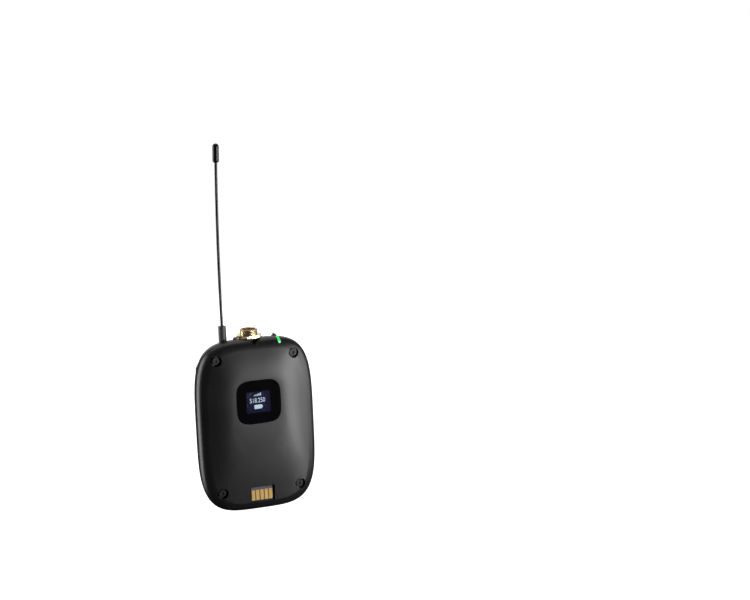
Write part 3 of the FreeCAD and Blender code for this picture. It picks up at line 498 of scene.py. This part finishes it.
def jack_key():
    """The ridge inside the barrel that the plug's slot slides over."""
    low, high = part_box("jack_barrel")
    middle = (low.y + high.y) / 2
    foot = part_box("jack_insulator")[1].z + SOCKET_RISE
    return box_mesh("jack_key", [((-0.6 * MM, 0.6 * MM), (middle + 3.4 * MM, middle + 3.85 * MM),
                                  (foot, high.z - 1.0 * MM))])


def release_spring(side):
    """A door button's return spring, a copy of the CAD coil put in its place on the transmitter body."""
    node = "latch_spring_" + side
    coil = place(node + "_coil", NODES[node].data.copy(), "contact_metal", "transmitter", "contact_metal", node)
    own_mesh(coil)


release_spring("left")
release_spring("right")
place("jack_barrel_threaded", threaded_barrel(), "jack_gold", "transmitter", "jack_gold", "jack_barrel")
place("jack_key", jack_key(), "jack_gold", "transmitter", "jack_gold")
place("screen_marks", screen_marks(), "screen_digits", "transmitter", "display_glass")
place("screen_digits", screen_digits(), "screen_digits", "transmitter", "display_glass")


# ---------------------------------------------------------------- camera

CAMERA_AZIMUTH = -16.67
CAMERA_ELEVATION = 14.13
CAMERA_ROLL = 3.09
CAMERA_DISTANCE = 1.2021
CAMERA_LENS = 102.0
AIM_LEFT = 3.279
AIM_BELOW = 3.278


def add_camera():
    """The camera looks past the case, which stands left of and below the middle of the frame."""
    low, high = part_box("front_shell")
    back_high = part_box("battery_door")[1]
    middle = Vector(((low.x + high.x) / 2, (low.y + back_high.y) / 2, (low.z + high.z) / 2))
    azimuth = math.radians(CAMERA_AZIMUTH)
    elevation = math.radians(CAMERA_ELEVATION)
    back = Vector((math.sin(azimuth) * math.cos(elevation), -math.cos(azimuth) * math.cos(elevation),
                   math.sin(elevation)))
    aim = Vector((-math.tan(math.radians(AIM_LEFT)), -math.tan(math.radians(AIM_BELOW)), -1.0))
    camera = bpy.data.objects.new("camera", bpy.data.cameras.new("camera"))
    bpy.context.scene.collection.objects.link(camera)
    camera.data.sensor_width = 36.0
    camera.data.lens = CAMERA_LENS
    camera.data.clip_start = 0.05
    camera.data.clip_end = 50.0
    camera.location = middle + back * CAMERA_DISTANCE
    camera.rotation_mode = "QUATERNION"
    roll = Quaternion((0, 0, 1), -math.radians(CAMERA_ROLL))
    offset = aim.rotation_difference(Vector((0, 0, -1)))
    camera.rotation_quaternion = (-back).to_track_quat("-Z", "Y") @ roll @ offset
    bpy.context.scene.camera = camera


add_camera()


# ---------------------------------------------------------------- studio

def area_light(name, place, size, power):
    """A softbox aimed at the middle of the case; its place is measured from there."""
    low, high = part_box("front_shell")
    middle = (low + high) / 2
    data = bpy.data.lights.new(name, "AREA")
    data.shape = "RECTANGLE"
    data.size = size[0]
    data.size_y = size[1]
    data.energy = power
    light = bpy.data.objects.new(name, data)
    light.location = middle + Vector(place)
    light.rotation_mode = "QUATERNION"
    light.rotation_quaternion = (-Vector(place)).to_track_quat("-Z", "Y")
    light.visible_camera = False
    bpy.context.scene.collection.objects.link(light)


FLOOR_DROP = 60 * MM
FLOOR_HALF_SIZE = 6.0


def plain_stage():
    """A pale floor, seen by the camera alone, low enough to clear the open battery door and its clip."""
    floor_z = CAD_BOX[0].z - FLOOR_DROP
    mesh = bpy.data.meshes.new("floor")
    size = FLOOR_HALF_SIZE
    corners = [(-size, -size, floor_z), (size, -size, floor_z), (size, size, floor_z), (-size, size, floor_z)]
    mesh.from_pydata(corners, [], [(0, 1, 2, 3)])
    floor = bpy.data.objects.new("floor", mesh)
    bpy.context.scene.collection.objects.link(floor)
    look = Look("floor", (0.9, 0.9, 0.9), 0.9)
    look.set("Emission Color", (1, 1, 1, 1))
    look.set("Emission Strength", 1.0)
    mesh.materials.append(look.material)
    floor.visible_diffuse = False
    floor.visible_glossy = False
    floor.visible_transmission = False


SURROUND_LIGHT = 0.02
CAMERA_WHITE = 1.05


def surround():
    """The background shows white to the camera and lights the object softly."""
    world = bpy.data.worlds.new("studio")
    world.use_nodes = True
    tree = world.node_tree
    background = tree.nodes["Background"]
    background.inputs["Color"].default_value = (1, 1, 1, 1)
    path = tree.nodes.new("ShaderNodeLightPath")
    level = tree.nodes.new("ShaderNodeMapRange")
    level.inputs["To Min"].default_value = SURROUND_LIGHT
    level.inputs["To Max"].default_value = CAMERA_WHITE
    tree.links.new(path.outputs["Is Camera Ray"], level.inputs["Value"])
    tree.links.new(level.outputs["Result"], background.inputs["Strength"])
    bpy.context.scene.world = world


plain_stage()
surround()
area_light("key_right", (0.37, -0.18, 0.05), (0.30, 0.34), 0.85)
area_light("front_right", (0.31, -0.50, -0.05), (0.16, 0.30), 1.7)
area_light("side_left", (-0.64, 0.28, 0.05), (0.5, 0.9), 4.8)
area_light("top_back", (0.0, 0.25, 0.76), (0.8, 0.5), 1.2)
area_light("rear_fill", (0.25, 0.85, 0.30), (0.9, 0.7), 2.0)
bpy.context.scene.view_settings.view_transform = "Standard"
bpy.context.scene.view_settings.look = "None"
